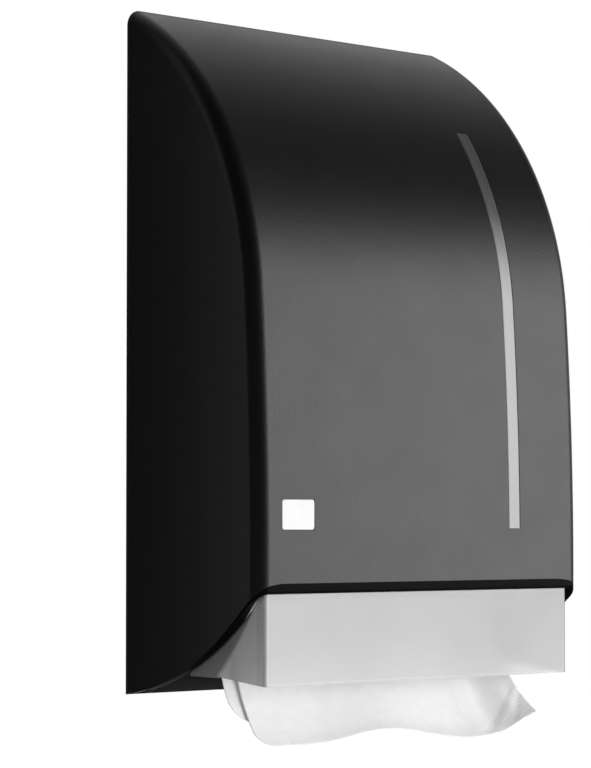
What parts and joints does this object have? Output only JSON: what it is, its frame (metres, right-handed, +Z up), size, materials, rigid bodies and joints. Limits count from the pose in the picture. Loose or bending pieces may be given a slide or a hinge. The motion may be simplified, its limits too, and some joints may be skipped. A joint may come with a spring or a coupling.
{
  "type": "folded paper towel dispenser",
  "caption": "Wall-mounted dispenser for folded paper towels: hinged curved cover with level window and side lock, inner magazine, frosted outlet guard and a hanging towel.",
  "frame": {"origin": "centre of the four wall screw holes, on the back face of the back plate", "axes": "+Z up, +X to the right seen from the front, -Y out from the wall towards the user"},
  "size_m": [0.2812, 0.1396, 0.4827],
  "materials": {
    "cover_finish": "satin charcoal plastic with a fine metallic fleck",
    "black_plastic": "fine-grained black moulded plastic",
    "frosted_plastic": "frosted clear plastic with polished edges",
    "window_plastic": "grey translucent plastic",
    "badge_finish": "bare satin light plate",
    "zinc_steel": "zinc-plated steel",
    "lock_chrome": "plated zinc casting",
    "paper": "embossed white tissue"
  },
  "bodies": {
    "base": {"back_plate": "black_plastic", "left_cheek": "black_plastic", "right_cheek": "black_plastic", "rear_shelf": "black_plastic", "front_shelf": "black_plastic", "towel_guard": "frosted_plastic", "cheek_screws": "zinc_steel", "shelf_screws": "zinc_steel", "guard_screws": "zinc_steel", "lock_catch": "zinc_steel", "catch_screws": "zinc_steel", "towel_pile": "paper", "leading_towel": "paper", "towel_back_panel": "paper"},
    "cover": {"cover": "cover_finish", "cover_rim": "black_plastic", "level_window": "window_plastic", "badge_plate": "badge_finish", "hinge_pins": "zinc_steel", "lock_housing": "lock_chrome", "lock_nut": "zinc_steel"},
    "lock": {"lock_plug": "lock_chrome", "lock_cam": "zinc_steel", "cam_screw": "zinc_steel"}
  },
  "joints": [
    {"name": "cover_hinge", "type": "hinge", "parent": "base", "child": "cover", "pos_m": [0, -0.0095, -0.219], "axis": [1, 0, 0], "range_deg": [0, 80]},
    {"name": "lock_turn", "type": "hinge", "parent": "cover", "child": "lock", "pos_m": [0.134, -0.042, 0.074], "axis": [1, 0, 0], "range_deg": [0, 90]}
  ]
}
